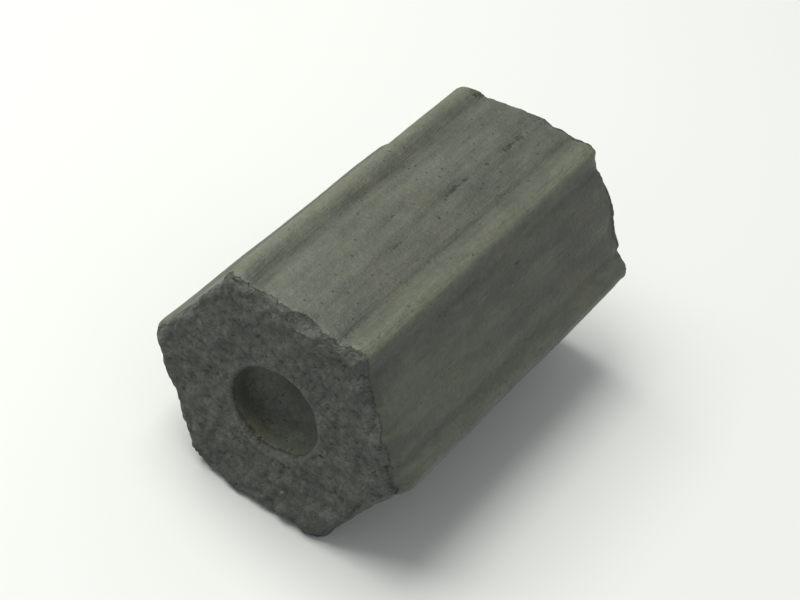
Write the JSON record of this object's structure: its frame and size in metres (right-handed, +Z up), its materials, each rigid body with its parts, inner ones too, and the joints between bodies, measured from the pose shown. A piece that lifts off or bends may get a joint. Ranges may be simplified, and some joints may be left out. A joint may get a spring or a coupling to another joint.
{
  "type": "coconut charcoal briquette",
  "caption": "Pressed hexagonal bar of coconut charcoal with a bead along each corner, a round bore end to end and rough broken ends; lies on one side.",
  "frame": {"origin": "on the surface that the briquette lies on, under the middle of its bounding box", "axes": "+X along the bore, +Z up and square to the side that it lies on"},
  "size_m": [0.0728, 0.0502, 0.044],
  "materials": {
    "charcoal": "matte dark grey charcoal, burnished lengthwise on the sides, granular on the broken ends"
  },
  "bodies": {
    "root": {"briquette": "charcoal"}
  },
  "joints": []
}
